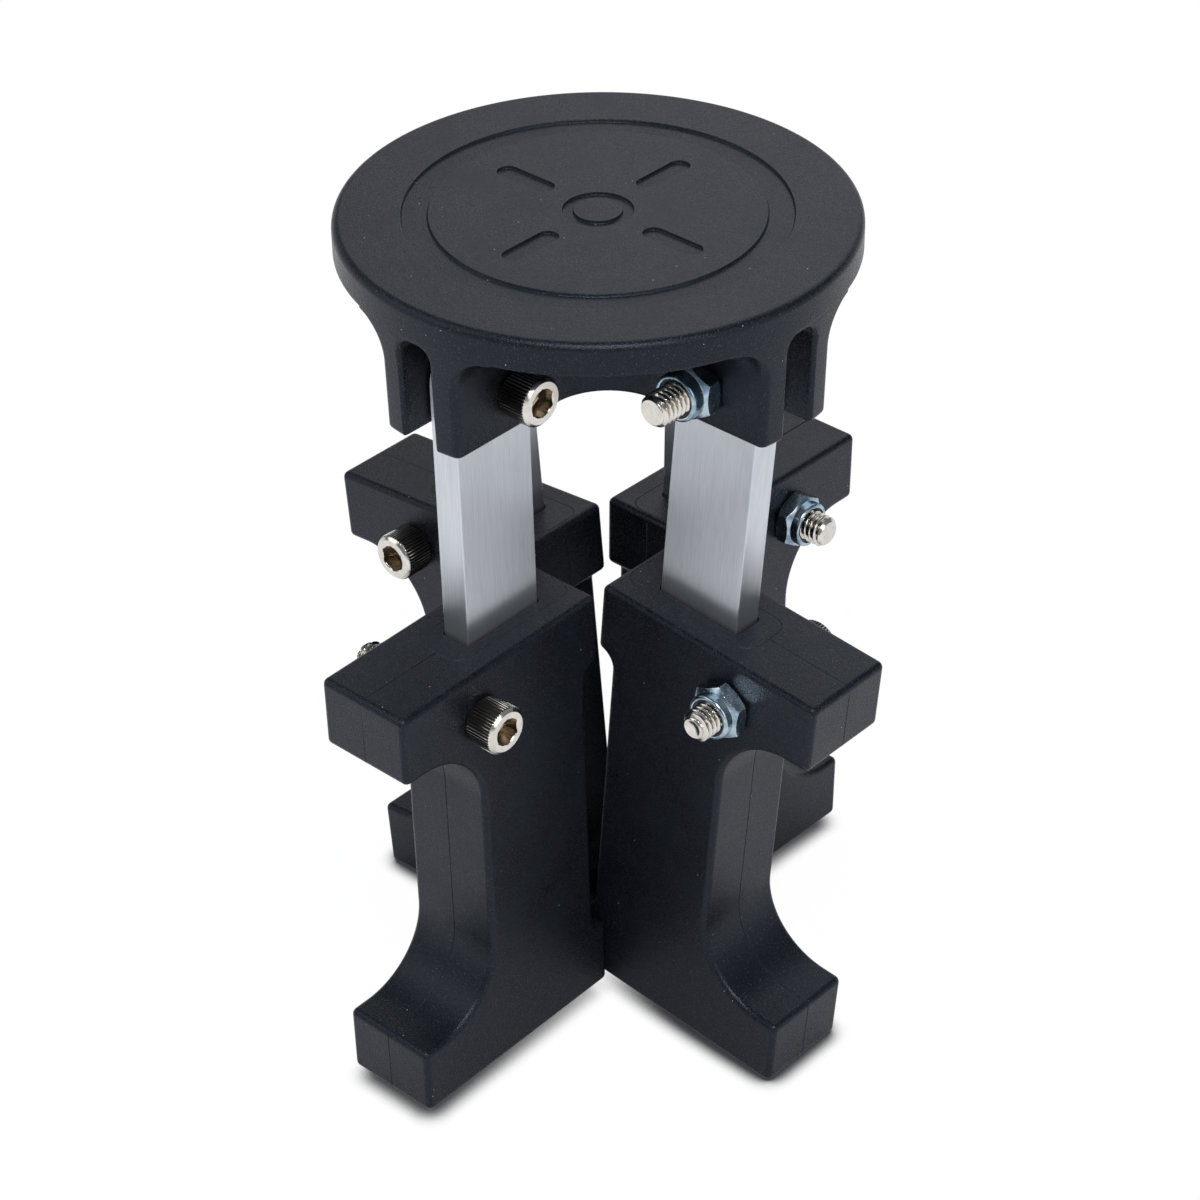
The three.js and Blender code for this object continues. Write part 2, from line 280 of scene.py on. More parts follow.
def workpiece(surface):
    """A scratch object with the surface, for the cutting steps."""
    mesh = bpy.data.meshes.new("workpiece")
    mesh.from_pydata(surface[0].tolist(), [], surface[1])
    piece = bpy.data.objects.new("workpiece", mesh)
    bpy.context.scene.collection.objects.link(piece)
    return piece


def cut(base, joined=(), removed=()):
    """The base surface with other closed surfaces joined on or cut away."""
    piece = workpiece(base)
    tools = []
    steps = [(s, "UNION") for s in joined] + [(s, "DIFFERENCE") for s in removed]
    for surface, operation in steps:
        tool = workpiece(surface)
        tools.append(tool)
        step = piece.modifiers.new("step", "BOOLEAN")
        step.solver = "MANIFOLD"
        step.operation = operation
        step.object = tool
    depsgraph = bpy.context.evaluated_depsgraph_get()
    mesh = bpy.data.meshes.new_from_object(piece.evaluated_get(depsgraph))
    vertices = np.empty(3 * len(mesh.vertices))
    mesh.vertices.foreach_get("co", vertices)
    faces = [tuple(face.vertices) for face in mesh.polygons]
    for scratch in [piece, *tools]:
        data = scratch.data
        bpy.data.objects.remove(scratch)
        bpy.data.meshes.remove(data)
    bpy.data.meshes.remove(mesh)
    return vertices.reshape(-1, 3), faces


def finished(name, surfaces, place, body, node, material, sharp=30):
    """A finished piece: surfaces put in place (a 4 x 4 matrix in millimetres), in metres, with
    their own millimetre coordinates kept in the attribute local, riding on body for node."""
    local = np.concatenate([surface[0] for surface in surfaces])
    faces = []
    first = 0
    for vertices, own in surfaces:
        faces += [tuple(first + i for i in face) for face in own]
        first += len(vertices)
    world = (local @ place[:3, :3].T + place[:3, 3]) / 1000
    mesh = bpy.data.meshes.new(name)
    mesh.from_pydata(world.tolist(), [], faces)
    own_place = mesh.attributes.new("local", "FLOAT_VECTOR", "POINT")
    own_place.data.foreach_set("vector", local.astype(np.float32).ravel())
    mesh.polygons.foreach_set("use_smooth", [True] * len(mesh.polygons))
    mesh.set_sharp_from_angle(angle=math.radians(sharp))
    mesh.materials.append(material)
    piece = bpy.data.objects.new(name, mesh)
    bpy.context.scene.collection.objects.link(piece)
    normals = piece.modifiers.new("even_normals", "WEIGHTED_NORMAL")
    normals.keep_sharp = True
    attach(piece, body)
    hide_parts(node)
    return piece


# Shapes

def disc():
    """The disc about Z with rounded rim and sunk band."""
    edge, fillet = BAND_EDGE_ROUND, BAND_FILLET
    rim_bottom = arc(DISC_RADIUS - RIM_BOTTOM_ROUND, DISC_UNDERSIDE + RIM_BOTTOM_ROUND,
                     RIM_BOTTOM_ROUND, 270, 360, 6)[0]
    rim_top = arc(DISC_RADIUS - RIM_TOP_ROUND, DISC_TOP - RIM_TOP_ROUND, RIM_TOP_ROUND,
                  0, 90, 12)[0]
    band_outer = arc(BAND_OUTER_RADIUS + edge, DISC_TOP - edge, edge, 90, 172, 5)[0]
    band_inner = arc(BAND_INNER_RADIUS - edge, DISC_TOP - edge, edge, 8, 90, 5)[0]
    floor = DISC_TOP - BAND_DEPTH
    band_floor = [
        (BAND_OUTER_RADIUS - BAND_SLOPE, floor + fillet),
        (BAND_OUTER_RADIUS - BAND_SLOPE - fillet, floor),
        (BAND_INNER_RADIUS + BAND_SLOPE + fillet, floor),
        (BAND_INNER_RADIUS + BAND_SLOPE, floor + fillet),
    ]
    cap_radius = 10
    profile = np.concatenate([
        [(cap_radius, DISC_UNDERSIDE)], rim_bottom, rim_top, band_outer, band_floor, band_inner,
    ])
    return skin(turned_about_z(profile, 288))


def block():
    """The plus-shaped block: each ear's side is at s = EAR_HALF_WIDTH + offset, its outer face
    at a radius R that its draft grows with height, its corners tangent to both, and the
    fillets between ears have their centres at EAR_HALF_WIDTH + INNER_FILLET both ways."""
    thinnest_draft = 0.03
    overlap = 1.5

    def ring(height, offset, inset):
        side = EAR_HALF_WIDTH + offset
        draft = EAR_DRAFT * (DISC_UNDERSIDE + RIM_BOTTOM_ROUND - height)
        draft /= DISC_UNDERSIDE + RIM_BOTTOM_ROUND - BLOCK_BOTTOM
        radius = DISC_RADIUS - max(draft, thinnest_draft) - inset
        corner = EAR_CORNER_ROUND - inset
        across = side - corner
        out = math.sqrt((radius - corner) ** 2 - across ** 2)
        bend = math.degrees(math.atan2(across, out))
        centre = EAR_HALF_WIDTH + INNER_FILLET
        face = arc(0, 0, radius, -bend, bend, 15)[0][1:-1]
        points = np.concatenate([
            arc(out, -across, corner, -90, -bend, 7)[0], face,
            arc(out, across, corner, bend, 90, 7)[0],
            arc(centre, centre, INNER_FILLET - offset, -90, -180, 17)[0],
        ])
        quarter = [points]
        for _ in range(3):
            x, y = quarter[-1].T
            quarter.append(np.stack([-y, x], axis=1))
        flat = np.concatenate(quarter)
        return np.column_stack([flat, np.full(len(flat), height)])

    rings = []
    for b in np.linspace(0, math.pi / 2, 7):
        inset = EAR_BOTTOM_ROUND * (1 - math.sin(b))
        rings.append(ring(BLOCK_BOTTOM + EAR_BOTTOM_ROUND * (1 - math.cos(b)), -inset, inset))
    for b in np.linspace(0, math.pi / 2, 19):
        drop = UNDERSIDE_FILLET * (1 - math.sin(b))
        rings.append(ring(DISC_UNDERSIDE - drop, UNDERSIDE_FILLET * (1 - math.cos(b)), 0))
    rings.append(ring(DISC_UNDERSIDE + overlap, UNDERSIDE_FILLET, 0))
    return skin(rings)


def slot():
    """The cutter of one bar slot, along +X: upright walls, a roof with round corners, and
    mouths below and outside that widen in a round of m = SLOT_MOUTH_ROUND: by m (1 - cos b)
    at a depth of m (1 - sin b)."""
    mouth = SLOT_MOUTH_ROUND
    past_face = 3
    bends = np.linspace(0, math.pi / 2, 7)

    def ring(offset, reach):
        half = SLOT_HALF_WIDTH + offset
        roof = PIVOT_HEIGHT + SLOT_ROOF_ABOVE_PIVOT + offset
        round_ = SLOT_ROOF_ROUND + offset
        right = [(half + mouth, BLOCK_BOTTOM - CUT_OVERRUN)]
        for b in bends[::-1]:
            wide = half + mouth * (1 - math.cos(b))
            right.append((wide, BLOCK_BOTTOM + mouth * (1 - math.sin(b))))
        roof_arc = arc(half - round_, roof - round_, round_, 0, 90, 7)[0]
        side = np.concatenate([right, roof_arc])
        full = np.concatenate([side, side[::-1] * (-1, 1)])
        draft = EAR_DRAFT * (DISC_UNDERSIDE - full[:, 1]) / (DISC_UNDERSIDE - BLOCK_BOTTOM)
        face = np.sqrt((DISC_RADIUS - draft) ** 2 - SLOT_HALF_WIDTH ** 2)
        along = np.full(len(full), SLOT_START) if reach is None else face + reach
        return np.column_stack([along, full])

    rings = [ring(0, None)]
    for b in bends:
        rings.append(ring(mouth * (1 - math.cos(b)), -mouth * (1 - math.sin(b))))
    rings.append(ring(mouth, past_face))
    return skin(rings)


def cross_bore(x, z, half_length):
    """The cutter of a bore across an arm."""
    count = 48
    circle = arc(x, z, BORE_RADIUS, 0, 360 - 360 / count, count)
    return skin(sideways(circle, [(-half_length, 0), (half_length, 0)]))


def emblem_levels():
    """Levels of a sunk shape with a soft edge at the disc's top."""
    floor = DISC_TOP - BAND_DEPTH
    r = EMBLEM_EDGE_ROUND
    past_top = 1
    return [
        (floor, 0.75 * r), (floor + 0.5 * r, 0.25 * r), (DISC_TOP - r, 0),
        (DISC_TOP - 0.3 * r, -0.25 * r), (DISC_TOP + 0.05 * r, -r), (DISC_TOP + past_top, -r),
    ]


def emblem_stroke():
    """The cutter of one round-ended stroke, along +X."""
    start, end = EMBLEM_STROKE
    half = EMBLEM_WIDTH / 2
    shape = outline(
        arc(end - half, 0, half, -90, 90, 20),
        arc(start + half, 0, half, 90, 270, 20),
    )
    return skin(upright(shape, emblem_levels()))


def emblem_ring():
    """The cutter of the emblem's ring."""
    inner, outer = EMBLEM_RING
    profile = [(outer - inset, z) for z, inset in emblem_levels()]
    profile += [(inner + inset, z) for z, inset in emblem_levels()[::-1]]
    return skin(turned_about_z(profile, 96), loop=True)


def hub():
    """Disc and block in one, with slots, bores and the sunk emblem."""
    removed = [emblem_ring()]
    for angle in (0, 90, 180, 270):
        removed.append(turn(slot(), angle))
        bore = cross_bore(PIVOT_RADIUS, PIVOT_HEIGHT, EAR_HALF_WIDTH + CUT_OVERRUN)
        removed.append(turn(bore, angle))
        removed.append(turn(emblem_stroke(), angle))
    return cut(disc(), [block()], removed)


def foot_outline():
    """The foot's side view: X outwards from the bar's middle, Z up from the foot's bottom. The
    recess ends in hollows of radius R that run into the pads' round corners of radius r: with
    their centres c = R + r apart and w across, they are sqrt(c^2 - w^2) apart in height."""
    r = FOOT_CORNER_ROUND
    out, inn, top = FOOT_OUTWARD - r, -FOOT_INWARD + r, FOOT_HEIGHT
    turn_at = WEB_OUTWARD + CRADLE_RADIUS
    hollow = -WEB_INWARD - RECESS_ROUND
    apart = RECESS_ROUND + r
    rise = math.sqrt(apart ** 2 - (inn - hollow) ** 2)
    bend = math.degrees(math.atan2(rise, inn - hollow))
    low, high = FLANGE + RECESS_ROUND, top - FLANGE - RECESS_ROUND
    return outline(
        arc(inn, r, r, 180, 270, 9),
        arc(out, r, r, 270, 360, 9),
        arc(out, FLANGE - r, r, 0, 90, 9),
        arc(turn_at, FLANGE + CRADLE_RADIUS, CRADLE_RADIUS, 270, 180, 33),
        arc(turn_at, top - FLANGE - CRADLE_RADIUS, CRADLE_RADIUS, 180, 90, 33),
        arc(out, top - FLANGE + r, r, 270, 360, 9),
        arc(out, top - r, r, 0, 90, 9),
        arc(inn, top - r, r, 90, 180, 9),
        arc(inn, high + rise, r, 180, 180 + bend, 9),
        arc(hollow, high, RECESS_ROUND, bend, 0, 13),
        arc(hollow, low, RECESS_ROUND, 0, -bend, 13),
        arc(inn, low - rise, r, 180 - bend, 180, 9),
    )


def parting_frame():
    """The cutter of the fine parting groove round the pocket on the foot's top: a V-shaped
    section along a rounded rectangle."""
    points, normals = rounded_rectangle(*PARTING_FRAME, PARTING_FRAME_ROUND, 9)
    half, depth = PARTING_WIDTH / 3, PARTING_DEPTH / 2
    rings = []
    for side, height in ((-half * 3, 2 * depth), (0, -depth), (half * 3, 2 * depth)):
        flat = points + side * normals
        rings.append(np.column_stack([flat, np.full(len(flat), FOOT_HEIGHT + height)]))
    return skin(rings, loop=True)


def parting_line(start, end):
    """The cutter of a straight stretch of that groove along X."""
    half, depth = PARTING_WIDTH * 1.5, PARTING_DEPTH
    section = np.array([(-half, 2 * depth), (0, -depth), (half, 2 * depth)])
    section[:, 1] += FOOT_HEIGHT
    return skin([np.column_stack([np.full(3, x), section]) for x in (start, end)])


def foot():
    """Foot with rounded edges, a parting groove on its middle plane, pocket and clamp bore."""
    shape = foot_outline()
    levels = rounded_levels(FOOT_WIDTH / 2, FOOT_EDGE_ROUND, 8)
    middle = len(levels) // 2
    off_top = (shape[0][:, 1] < FOOT_HEIGHT - FOOT_CORNER_ROUND).astype(float)
    half = PARTING_WIDTH / 2
    groove = [(-half, 0), (0, PARTING_DEPTH * off_top), (half, 0)]
    body = skin(sideways(shape, levels[:middle] + groove + levels[middle:]))
    mouth = POCKET_MOUTH_ROUND
    wide, deep = POCKET_WIDTH / 2, SLOT_HALF_WIDTH
    pocket = rounded_rectangle((-wide, -deep), (wide, deep), POCKET_CORNER)
    pocket_levels = [(POCKET_FLOOR, 0)]
    for b in np.linspace(0, math.pi / 2, 6):
        depth = mouth * (1 - math.sin(b))
        pocket_levels.append((FOOT_HEIGHT - depth, -mouth * (1 - math.cos(b))))
    pocket_levels.append((FOOT_HEIGHT + CUT_OVERRUN, -mouth))
    frame_start, frame_end = PARTING_FRAME[0][0], PARTING_FRAME[1][0]
    return cut(body, removed=[
        skin(upright(pocket, pocket_levels)),
        cross_bore(CLAMP_OUTWARD, CLAMP_HEIGHT, FOOT_WIDTH / 2 + CUT_OVERRUN),
        parting_frame(),
        parting_line(frame_end, FOOT_OUTWARD + CUT_OVERRUN),
        parting_line(-FOOT_INWARD - CUT_OVERRUN, frame_start),
    ])


def bar(length):
    """Flat bar with full-round top about its bore, which is the origin, and small edge rounds."""
    half, r = BAR_WIDTH / 2, BAR_CORNER_ROUND
    shape = outline(
        arc(0, 0, half, 0, 180, 65),
        arc(r - half, r - length, r, 180, 270, 5),
        arc(half - r, r - length, r, 270, 360, 5),
    )
    body = skin(sideways(shape, rounded_levels(BAR_THICKNESS / 2, BAR_EDGE_ROUND, 5)))
    return cut(body, removed=[cross_bore(0, 0, BAR_THICKNESS)])


def hexagon(across_flats, count):
    """Radius of a hexagon with a corner at a = 0 in count directions a:
    (across_flats / 2) / cos(a', the angle from the nearest flat's middle)."""
    angle = np.arange(count) * 2 * math.pi / count
    return across_flats / 2 / np.cos(angle % (math.pi / 3) - math.pi / 6)


def screw_head():
    """Knurled head from y = 0 to its top, with hex socket. Flutes between sharp ridges:
    R - d |sin(24 a)|, cut by a polished crown R - c t^1.3, where t runs from 0 to 1 over the
    crown's height c; socket: the larger of hexagon and countersink cone."""
    count = 384
    angle = np.arange(count) * 2 * math.pi / count
    knurl = HEAD_RADIUS - KNURL_DEPTH * np.abs(np.sin(KNURL_FLUTES / 2 * angle))
    top = HEAD_HEIGHT
    seat, low_radius, low_height = HEAD_SEAT_RADIUS, HEAD_FOOT_RADIUS, HEAD_FOOT_HEIGHT
    cap_radius = 3.5
    profile = [(cap_radius, 0), (seat, 0), (low_radius - 0.08, 0.06), (low_radius, low_height)]
    for y in (0.35, 0.45, 0.55, 0.7):
        profile.append((np.minimum(knurl, low_radius + (y - low_height)), y))
    profile += [(knurl, 2.5), (knurl, 4.8)]
    for t in np.linspace(0, 0.95, 20):
        crown = HEAD_RADIUS - HEAD_CROWN * t ** 1.3
        profile.append((np.minimum(knurl, crown), top - HEAD_CROWN * (1 - t)))
    profile += [(HEAD_RADIUS - HEAD_CROWN, top), (HEAD_RADIUS - HEAD_CROWN - 0.1, top)]
    hexagon_ = hexagon(SOCKET_ACROSS_FLATS, count)
    rim = SOCKET_RIM_RADIUS
    profile += [(3.8, top), (np.maximum(hexagon_, rim), top)]
    for depth in (0.05, 0.1, 0.16, 0.22, 0.3):
        profile.append((np.maximum(hexagon_, rim - depth), top - depth))
    floor = top - SOCKET_DEPTH
    profile += [(hexagon_, top - 2.5), (hexagon_, floor), (0.6, floor - 0.9 * SOCKET_CONE_DEPTH),
                (0.2, floor - SOCKET_CONE_DEPTH)]
    return skin(turned_about_y(profile, count))


def screw_shank(tip):
    """Shank below the head, with a right-handed thread near its end: radius R - d s(w), where
    w = y / pitch - a / 360 degrees, and s is 0 on the crest, 1 in the root and straight
    between. The end is chamfered, or, where tip is true, turned down to a cupped tip."""
    count = 72
    angle = np.arange(count) * 2 * math.pi / count
    end = -SCREW_LENGTH
    thread_start = end + THREADED_LENGTH
    profile = [(SCREW_RADIUS - 0.1, 1), (SCREW_RADIUS - 0.1, thread_start + 0.3)]
    for y in np.arange(thread_start, end + 0.05, -THREAD_PITCH / THREAD_STEPS):
        turns = y / THREAD_PITCH - angle / (2 * math.pi)
        from_crest = 2 * np.abs(turns % 1 - 0.5)
        depth = np.clip((from_crest - THREAD_CREST) / THREAD_FLANK, 0, 1)
        fade = min(1, (thread_start - y) / THREAD_PITCH)
        radius = SCREW_RADIUS - THREAD_DEPTH * depth * fade
        radius = np.minimum(radius, SCREW_RADIUS - END_CHAMFER + (y - end) * 0.9)
        if tip:
            radius = np.minimum(radius, TIP_RADIUS + 6 * max(0, y - end - TIP_LENGTH))
            radius = np.minimum(radius, TIP_RADIUS - 0.3 + 1.2 * (y - end))
        profile.append((radius, y))
    if tip:
        cup = TIP_CUP_RADIUS
        profile += [(cup + 0.3, end), (cup, end), (cup - 0.5, end + 0.2),
                    (0.3, end + TIP_CUP_DEPTH)]
    else:
        profile += [(SCREW_RADIUS - 1, end), (0.6, end), (0.3, end)]
    return skin(turned_about_y(profile, count))


def nut(hex_height, height):
    """Lock nut from its seat at y = 0 to its collar: a hexagon cut at the seat and at the
    collar by a cone, min(hexagon, r + k depth) with (r, k) its radius at the face and how fast
    it widens, then a round collar with a lip over the nylon ring, and a bore."""
    count = 144
    hexagon_ = hexagon(NUT_ACROSS_FLATS, count)
    depths = [0, 0.06, 0.12, 0.2, 0.3, 0.4, 0.5, 0.6, 0.72]
    radius, widening = NUT_SEAT_CONE
    profile = [(BORE_RADIUS + 0.4, 0), (NUT_SEAT_RADIUS, 0)]
    profile += [(np.minimum(hexagon_, radius + widening * d), -d) for d in depths]
    low = -hex_height
    profile += [(hexagon_, low / 2)]
    depths = [0.1, 0.2, 0.3, 0.36, 0.44, 0.54, 0.64, 0.74, 0.84, 0.94, 1.02]
    radius, widening = NUT_COLLAR_CONE
    profile += [(np.minimum(hexagon_, radius + widening * d), low + d) for d in depths[::-1]]
    collar = COLLAR_RADIUS
    profile += [(collar + 0.15, low), (collar + 0.04, low - 0.06), (collar, low - 0.2)]
    lip = -height
    rim = arc(lip + COLLAR_ROUND, collar - COLLAR_ROUND, COLLAR_ROUND, 90, 200, 10)[0]
    profile += [(r, y) for y, r in rim]
    profile += [(LIP_RADIUS, lip + 0.22), (LIP_RADIUS, lip + 0.34), (COLLAR_INSIDE, lip + 0.38),
                (COLLAR_INSIDE, low - 0.05), (BORE_RADIUS, low - 0.05), (BORE_RADIUS, -0.4)]
    return skin(turned_about_y(profile, count), loop=True)


def insert(height):
    """Nylon ring with round edges, a little inside the collar of a nut of that height."""
    inner, outer = INSERT_RADII
    low, high = (h - height for h in INSERT_HEIGHTS)
    points = rounded_rectangle((inner, low), (outer, high), INSERT_EDGE_ROUND, 4)[0]
    return skin(turned_about_y(points, 72), loop=True)


# Materials

class Value:
    """A number or vector that a material works out at each point, for use in plain maths."""

    def __init__(self, sheet, socket):
        self.sheet = sheet
        self.socket = socket

    def __add__(self, other):
        return self.sheet.maths("ADD", self, other)

    def __radd__(self, other):
        return self.sheet.maths("ADD", other, self)

    def __sub__(self, other):
        return self.sheet.maths("SUBTRACT", self, other)

    def __rsub__(self, other):
        return self.sheet.maths("SUBTRACT", other, self)

    def __mul__(self, other):
        return self.sheet.maths("MULTIPLY", self, other)

    def __pow__(self, other):
        return self.sheet.maths("POWER", self, other)

    def step(self, low, high):
        """0 below low, 1 above high, smooth between."""
        return self.sheet.node(
            "ShaderNodeMapRange", {"interpolation_type": "SMOOTHSTEP"},
            {"Value": self, "From Min": low, "From Max": high},
        )


class Sheet:
    """A node tree of a material or of the world, filled by calls."""

    def __init__(self, tree):
        self.tree = tree
        tree.nodes.clear()

    def node(self, kind, settings=None, inputs=None, output=0):
        """A node of any kind: its settings first, then its inputs, as numbers or values."""
        node = self.tree.nodes.new(kind)
        for key, value in (settings or {}).items():
            setattr(node, key, value)
        for key, value in (inputs or {}).items():
            if isinstance(value, Value):
                self.tree.links.new(value.socket, node.inputs[key])
            else:
                node.inputs[key].default_value = value
        return Value(self, node.outputs[output]) if node.outputs else None

    def maths(self, operation, *values):
        return self.node("ShaderNodeMath", {"operation": operation}, dict(enumerate(values)))

    def place(self):
        """Millimetres in the piece's rest position."""
        metres = self.node("ShaderNodeTexCoord", output="Object")
        return self.node(
            "ShaderNodeVectorMath", {"operation": "SCALE"}, {0: metres, "Scale": 1000},
        )

    def local(self):
        """Millimetres in the piece's own frame."""
        return self.node(
            "ShaderNodeAttribute", {"attribute_name": "local"}, output="Vector",
        )

    def parts(self, vector):
        """X, Y and Z of a vector."""
        split = self.node("ShaderNodeSeparateXYZ", inputs={0: vector}).socket.node
        return [Value(self, socket) for socket in split.outputs]

    def stretched(self, vector, x, y, z):
        return self.node(
            "ShaderNodeVectorMath", {"operation": "MULTIPLY"}, {0: vector, 1: (x, y, z)},
        )

    def noise(self, vector, scale, detail, roughness):
        return self.node("ShaderNodeTexNoise", inputs={
            "Vector": vector, "Scale": scale, "Detail": detail, "Roughness": roughness,
        })

    def mix(self, factor, first, second):
        """Colour from first to second."""
        mixed = self.node("ShaderNodeMix", {"data_type": "RGBA"}, {0: factor}, "Result")
        node = mixed.socket.node
        sockets = [s for s in node.inputs if s.type == "RGBA"]
        for socket, value in zip(sockets, (first, second)):
            if isinstance(value, Value):
                self.tree.links.new(value.socket, socket)
            else:
                socket.default_value = (*value, 1)
        return Value(self, [s for s in node.outputs if s.type == "RGBA"][0])

    def edges(self, width):
        """0 on flat places, growing to 1 on the roundest edges: 1 - n . n', where n' is the
        normal averaged over that many millimetres."""
        averaged = self.node("ShaderNodeBevel", {"samples": 6}, {"Radius": width / 1000})
        normal = self.node("ShaderNodeNewGeometry", output="Normal")
        settings = {"operation": "DOT_PRODUCT"}
        alike = self.node("ShaderNodeVectorMath", settings, {0: averaged, 1: normal}, "Value")
        return (1 - alike).step(0.01, 0.12)

    def bump(self, height, depth):
        """Normal from a height of 0 to 1, which stands for depth millimetres."""
        return self.node("ShaderNodeBump", inputs={
            "Strength": 1.0, "Distance": depth / 1000, "Height": height,
        })

    def surface(self, **sockets):
        """The material's surface, with spaces for underscores in the sockets' names."""
        inputs = {key.replace("_", " "): value for key, value in sockets.items()}
        shader = self.node("ShaderNodeBsdfPrincipled", inputs=inputs)
        self.node("ShaderNodeOutputMaterial", inputs={"Surface": shader})


def new_sheet(name):
    """A new material and its empty sheet."""
    material = bpy.data.materials.new(name)
    material.use_nodes = True
    return material, Sheet(material.node_tree)


def black_plastic():
    """Moulded charcoal plastic: fine pebble grain, cloudy tone, sparse painted glints, edges a
    little smoother and painted a little paler as a sheen, a few specks of dust."""
    material, sheet = new_sheet("black_plastic")
    spot = sheet.place()
    pebbles = sheet.noise(spot, 2.3, 2, 0.65)
    fine = sheet.noise(spot, 5.0, 2, 0.6)
    clouds = sheet.noise(spot, 0.07, 3, 0.55)
    grain = pebbles * 0.55 + fine * 0.45
    # Painted glints: sparse pale spots standing in for sparkles of light off the grain.
    painted_glints = sheet.noise(spot, 3.1, 1, 0.5).step(0.63, 0.79)
    dust = 1 - sheet.node(
        "ShaderNodeTexVoronoi", inputs={"Vector": spot, "Scale": 0.21}, output="Distance",
    ).step(0.022, 0.034)
    # Painted sheen: rounded edges a little paler in colour, and a little glossier.
    painted_edge_sheen = sheet.edges(1.0) * (0.35 + clouds * 0.6)
    tone = sheet.mix(grain.step(0.34, 0.66), (0.0028, 0.0034, 0.0052), (0.0068, 0.0082, 0.0118))
    tone = sheet.mix(clouds.step(0.35, 0.65) * 0.3, tone, (0.0075, 0.0098, 0.0155))
    tone = sheet.mix(painted_glints, tone, (0.07, 0.075, 0.085))
    tone = sheet.mix(painted_edge_sheen * 0.5, tone, (0.03, 0.034, 0.041))
    sheet.surface(
        Base_Color=sheet.mix(dust, tone, (0.4, 0.41, 0.42)),
        Roughness=0.29 + (grain - 0.5) * 0.5 + (clouds - 0.5) * 0.2 - painted_edge_sheen * 0.05,
        Normal=sheet.bump(grain, 0.13),
        Specular_IOR_Level=0.25,
        Specular_Tint=(0.82, 0.92, 1.13, 1),
    )
    return material


def brushed_aluminium():
    """Aluminium brushed along the bar, so that reflections spread sideways but not along, with
    fine low streaks in tone, gloss and relief, and edges polished smoother and painted paler as a
    highlight."""
    material, sheet = new_sheet("brushed_aluminium")
    local = sheet.local()
    spot = sheet.place()
    scratches = sheet.noise(sheet.stretched(local, 13, 13, 0.16), 1.0, 2, 0.6)
    broad = sheet.noise(sheet.stretched(local, 3.4, 3.4, 0.05), 1.0, 2, 0.5)
    clouds = sheet.noise(spot, 0.09, 2, 0.5)
    streaks = scratches * 0.6 + broad * 0.4
    # Painted highlight: edges paler in colour, and polished a little smoother.
    edge = sheet.edges(0.5)
    smudges = sheet.noise(sheet.stretched(spot, 0.12, 0.12, 0.05), 1.0, 3, 0.6).step(0.5, 0.75)
    tone = sheet.mix(streaks.step(0.3, 0.7), (0.65, 0.675, 0.71), (0.81, 0.83, 0.86))
    tone = sheet.mix(smudges * 0.5, tone, (0.64, 0.67, 0.72))
    sheet.surface(
        Base_Color=sheet.mix(edge, tone, (0.93, 0.93, 0.94)),
        Metallic=0.91,
        Roughness=0.43 + (streaks - 0.5) * 0.12 + (clouds - 0.5) * 0.06 - edge * 0.12,
        Anisotropic=0.94,
        Normal=sheet.bump(scratches, 0.012),
    )
    return material


def bright_nickel():
    """Warm nickel plate with a fine satin grain and small pits, darker in the socket, with
    painted shade in the knurl's flutes and the thread's roots, and edges painted bright as a
    highlight."""
    material, sheet = new_sheet("bright_nickel")
    spot = sheet.place()
    x, y, z = sheet.parts(sheet.local())
    from_axis = (x * x + z * z) ** 0.5
    in_socket = (1 - from_axis.step(3.62, 3.7)) * y.step(2.4, 2.6) * (1 - y.step(7.6, 7.75))
    on_knurl = y.step(0.1, 0.5) * (1 - y.step(7.1, 7.3)) * from_axis.step(5, 5.4)
    # Painted shade: the knurl's flutes near black, standing in for shadow and dark reflections.
    flutes_painted_dark = (1 - from_axis.step(5.8, 5.93)) * on_knurl
    # Painted shade: the thread's roots darker.
    roots_painted_dark = (1 - from_axis.step(3.15, 3.6)) * y.step(-37.2, -36.8) * (1 - y.step(-27, -26.5))
    grain = sheet.noise(spot, 6, 2, 0.6)
    clouds = sheet.noise(spot, 0.5, 2, 0.5)
    pits = 1 - sheet.noise(spot, 2.4, 1, 0.5).step(0.24, 0.3)
    tone = sheet.mix(clouds.step(0.3, 0.7), (0.70, 0.655, 0.59), (0.79, 0.75, 0.69))
    tone = sheet.mix(pits * 0.7, tone, (0.3, 0.27, 0.23))
    # Painted highlight: edges paler.
    tone = sheet.mix(sheet.edges(0.25) * 0.7, tone, (0.88, 0.85, 0.80))
    tone = sheet.mix(flutes_painted_dark * 0.95, tone, (0.02, 0.018, 0.017))
    tone = sheet.mix(roots_painted_dark * 0.7, tone, (0.12, 0.1, 0.08))
    sheet.surface(
        Base_Color=sheet.mix(in_socket, tone, (0.45, 0.385, 0.31)),
        Metallic=1.0,
        Roughness=0.12 + grain * 0.06 + in_socket * 0.04 + flutes_painted_dark * 0.2,
        Normal=sheet.bump(grain - pits * 0.5, 0.006),
    )
    return material


